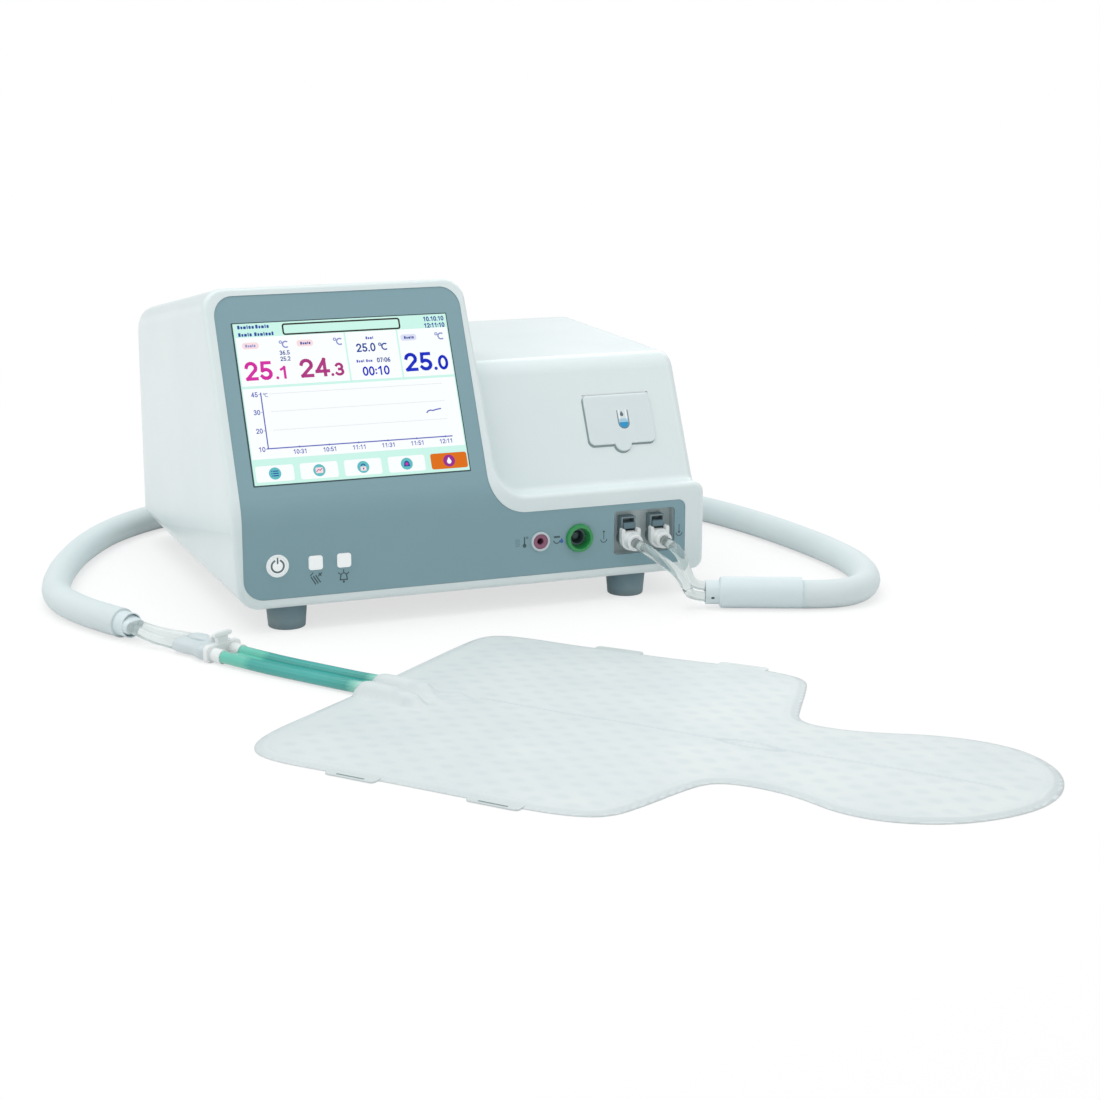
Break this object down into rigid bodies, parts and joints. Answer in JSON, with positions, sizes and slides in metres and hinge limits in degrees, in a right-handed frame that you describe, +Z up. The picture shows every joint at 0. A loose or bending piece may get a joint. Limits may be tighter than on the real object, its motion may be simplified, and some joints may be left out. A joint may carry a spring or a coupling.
{
  "type": "neonatal cooling device",
  "caption": "Table-top water chilling console with leaning touch screen, keys, sockets and couplings, feeding a flat body blanket through an insulated hose and twin connector.",
  "frame": {"origin": "middle of the footprint of console, back fittings and blanket, at table level; hose and tubes are left out of it", "axes": "+X to the console's right as seen from the front, +Y to the console's back (the screen faces -Y), +Z up"},
  "size_m": [0.8198, 1.1942, 0.3136],
  "materials": {
    "shell_white": "fine satin moulding",
    "panel_grey": "fine satin moulding",
    "plate_steel": "light grey powder coat",
    "grille_white": "satin",
    "foot_rubber": "matt blue-grey",
    "screw_steel": "satin",
    "screen_glass": "clear with a slight sheen",
    "display_body": "lit mint screen",
    "bracket_metal": "mill finish",
    "button_white": "semi-gloss",
    "bezel_light": "semi-gloss",
    "key_grey": "semi-gloss",
    "board_green": "solder mask",
    "jack_body": "semi-gloss black",
    "jack_pink": "semi-gloss",
    "ring_green": "semi-gloss",
    "core_dark": "matt",
    "port_grey": "matt",
    "coupling_dark": "satin",
    "latch_slate": "satin",
    "plug_white": "satin",
    "door_grey": "fine satin moulding",
    "pin_steel": "satin",
    "neck_plastic": "matt",
    "tank_plastic": "translucent",
    "float_plastic": "matt",
    "pump_dark": "matt",
    "impeller_plastic": "matt",
    "motor_metal": "satin",
    "block_metal": "machined",
    "module_ceramic": "matt",
    "sink_metal": "extruded",
    "fan_black": "matt",
    "supply_case": "satin",
    "entry_black": "matt",
    "stud_brass": "satin",
    "pipe_clear": "translucent",
    "tube_clear": "clear, glossy",
    "hose_sleeve": "matt foam sleeve",
    "cuff_white": "matt",
    "connector_grey": "satin",
    "connector_white": "semi-gloss",
    "tube_teal": "satin",
    "blanket_film": "soft translucent film"
  },
  "bodies": {
    "console": {"main_casing": "shell_white", "front_frame": "shell_white", "control_panel": "panel_grey", "base_plate": "plate_steel", "vent_grille": "grille_white", "rubber_feet": "foot_rubber", "case_screws": "screw_steel", "touch_glass": "screen_glass", "display_module": "display_body", "display_bracket": "bracket_metal", "power_bezel": "bezel_light", "key_board": "board_green", "probe_socket": "jack_body", "probe_socket_ring": "jack_pink", "sensor_socket_ring": "ring_green", "sensor_socket_core": "core_dark", "port_housing": "port_grey", "couplings": "coupling_dark", "supply_plug": "plug_white", "return_plug": "plug_white", "door_hinge_pin": "pin_steel", "filler_neck": "neck_plastic", "reservoir": "tank_plastic", "reservoir_lid": "tank_plastic", "pump_housing": "pump_dark", "pump_motor": "motor_metal", "cooling_block": "block_metal", "peltier_modules": "module_ceramic", "heat_sink": "sink_metal", "fan_frame": "fan_black", "main_board": "board_green", "power_supply": "supply_case", "mains_inlet": "entry_black", "earth_stud": "stud_brass", "drain_fitting": "stud_brass", "internal_pipes": "pipe_clear", "supply_tube": "tube_clear", "return_tube": "tube_clear", "insulated_hose": "hose_sleeve", "console_end_cuff": "cuff_white", "blanket_end_collar": "cuff_white", "connector_supply_tube": "tube_clear", "connector_return_tube": "tube_clear", "hose_connector": "connector_grey", "blanket_connector": "connector_white", "blanket_supply_tube": "tube_teal", "blanket_return_tube": "tube_teal", "blanket_tube_web": "tube_teal", "blanket": "blanket_film"},
    "power_button": {"power_button": "button_white"},
    "left_key": {"left_key": "key_grey"},
    "right_key": {"right_key": "key_grey"},
    "supply_latch": {"supply_latch": "latch_slate"},
    "return_latch": {"return_latch": "latch_slate"},
    "filler_door": {"filler_door": "door_grey"},
    "level_float": {"level_float": "float_plastic"},
    "pump_impeller": {"pump_impeller": "impeller_plastic"},
    "fan_rotor": {"fan_rotor": "fan_black"},
    "mains_switch": {"mains_switch": "entry_black"},
    "fuse_drawer": {"fuse_drawer": "entry_black"}
  },
  "joints": [
    {"name": "power_button_press", "type": "slide", "parent": "console", "child": "power_button", "axis": [0, 1, 0], "range_m": [0, 0.0012], "stiffness_N_per_m": 900, "springref_m": -0.0006},
    {"name": "left_key_press", "type": "slide", "parent": "console", "child": "left_key", "axis": [0, 1, 0], "range_m": [0, 0.0012], "stiffness_N_per_m": 900, "springref_m": -0.0006},
    {"name": "right_key_press", "type": "slide", "parent": "console", "child": "right_key", "axis": [0, 1, 0], "range_m": [0, 0.0012], "stiffness_N_per_m": 900, "springref_m": -0.0006},
    {"name": "supply_latch_press", "type": "slide", "parent": "console", "child": "supply_latch", "axis": [0, 0, -1], "range_m": [0, 0.002], "stiffness_N_per_m": 1100, "springref_m": -0.001},
    {"name": "return_latch_press", "type": "slide", "parent": "console", "child": "return_latch", "axis": [0, 0, -1], "range_m": [0, 0.002], "stiffness_N_per_m": 1100, "springref_m": -0.001},
    {"name": "filler_door_hinge", "type": "hinge", "parent": "console", "child": "filler_door", "pos_m": [0.18634, 0.17584, 0.19171], "axis": [-1, 0, 0], "range_deg": [0, 90]},
    {"name": "level_float_rise", "type": "slide", "parent": "console", "child": "level_float", "axis": [0, 0, 1], "range_m": [0, 0.04]},
    {"name": "pump_spin", "type": "hinge", "parent": "console", "child": "pump_impeller", "pos_m": [-0.01316, 0.26201, 0.045], "axis": [0, 0, 1], "continuous": true},
    {"name": "fan_spin", "type": "hinge", "parent": "console", "child": "fan_rotor", "pos_m": [0.16084, 0.52401, 0.104], "axis": [0, 1, 0], "continuous": true},
    {"name": "mains_switch_rock", "type": "hinge", "parent": "console", "child": "mains_switch", "pos_m": [-0.13716, 0.53901, 0.068], "axis": [-1, 0, 0], "range_deg": [0, 20]},
    {"name": "fuse_drawer_slide", "type": "slide", "parent": "console", "child": "fuse_drawer", "axis": [0, 1, 0], "range_m": [0, 0.012]}
  ]
}
